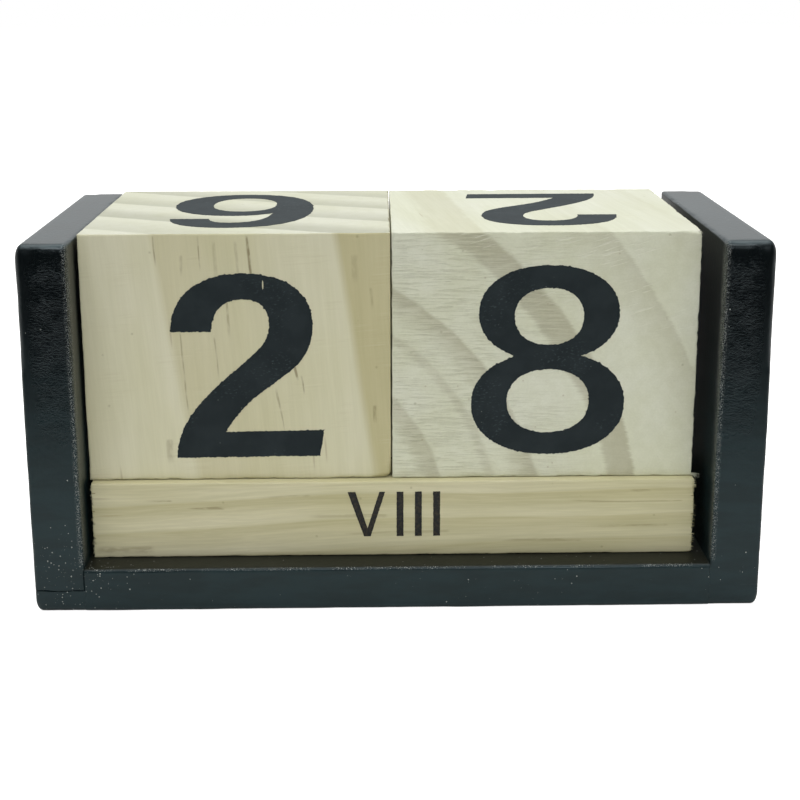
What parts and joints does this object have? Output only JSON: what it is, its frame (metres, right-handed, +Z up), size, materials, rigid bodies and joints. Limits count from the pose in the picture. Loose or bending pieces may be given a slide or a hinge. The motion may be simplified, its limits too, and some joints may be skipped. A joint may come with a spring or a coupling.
{
  "type": "perpetual desk calendar",
  "caption": "Black-painted wooden tray holding two loose day blocks with digits on every face, standing on loose square month bars.",
  "frame": {"origin": "on the table under the middle of the tray's footprint", "axes": "+Z up, the shown date and month face -Y, +X to the reader's right along the tray"},
  "size_m": [0.1502, 0.062, 0.0783],
  "materials": {
    "pale_pine": "planed and sanded, unfinished",
    "pale_end_grain": "sawn, lightly sanded, unfinished",
    "black_paint": "wood brushed with black semi-gloss paint",
    "digit_paint": "matt slate-black paint",
    "engraved_paint": "burnt and filled engraving",
    "brad_steel": "bright drawn wire"
  },
  "bodies": {
    "tray": {"base_board": "black_paint", "left_side_panel": "black_paint", "right_side_panel": "black_paint", "panel_brads": "brad_steel"},
    "tens": {"tens_block": "pale_pine", "tens_numerals": "digit_paint"},
    "units": {"units_block": "pale_end_grain", "units_numerals": "digit_paint"},
    "front_bar": {"front_month_bar": "pale_pine", "front_month_numerals": "engraved_paint"},
    "middle_bar": {"middle_month_bar": "pale_pine", "middle_month_numerals": "engraved_paint"},
    "rear_bar": {"rear_month_bar": "pale_pine", "rear_month_numerals": "engraved_paint"}
  },
  "joints": [
    {"name": "tens_block_lift", "type": "slide", "parent": "tray", "child": "tens", "axis": [0, 0, 1], "range_m": [0, 0.055]},
    {"name": "units_block_lift", "type": "slide", "parent": "tray", "child": "units", "axis": [0, 0, 1], "range_m": [0, 0.055]},
    {"name": "middle_bar_slide", "type": "slide", "parent": "tray", "child": "middle_bar", "axis": [0, -1, 0], "range_m": [0, 0.0189]},
    {"name": "front_bar_slide", "type": "slide", "parent": "middle_bar", "child": "front_bar", "axis": [0, -1, 0], "range_m": [0, 0.025]},
    {"name": "rear_bar_slide", "type": "slide", "parent": "tray", "child": "rear_bar", "axis": [0, 1, 0], "range_m": [0, 0.02]}
  ]
}
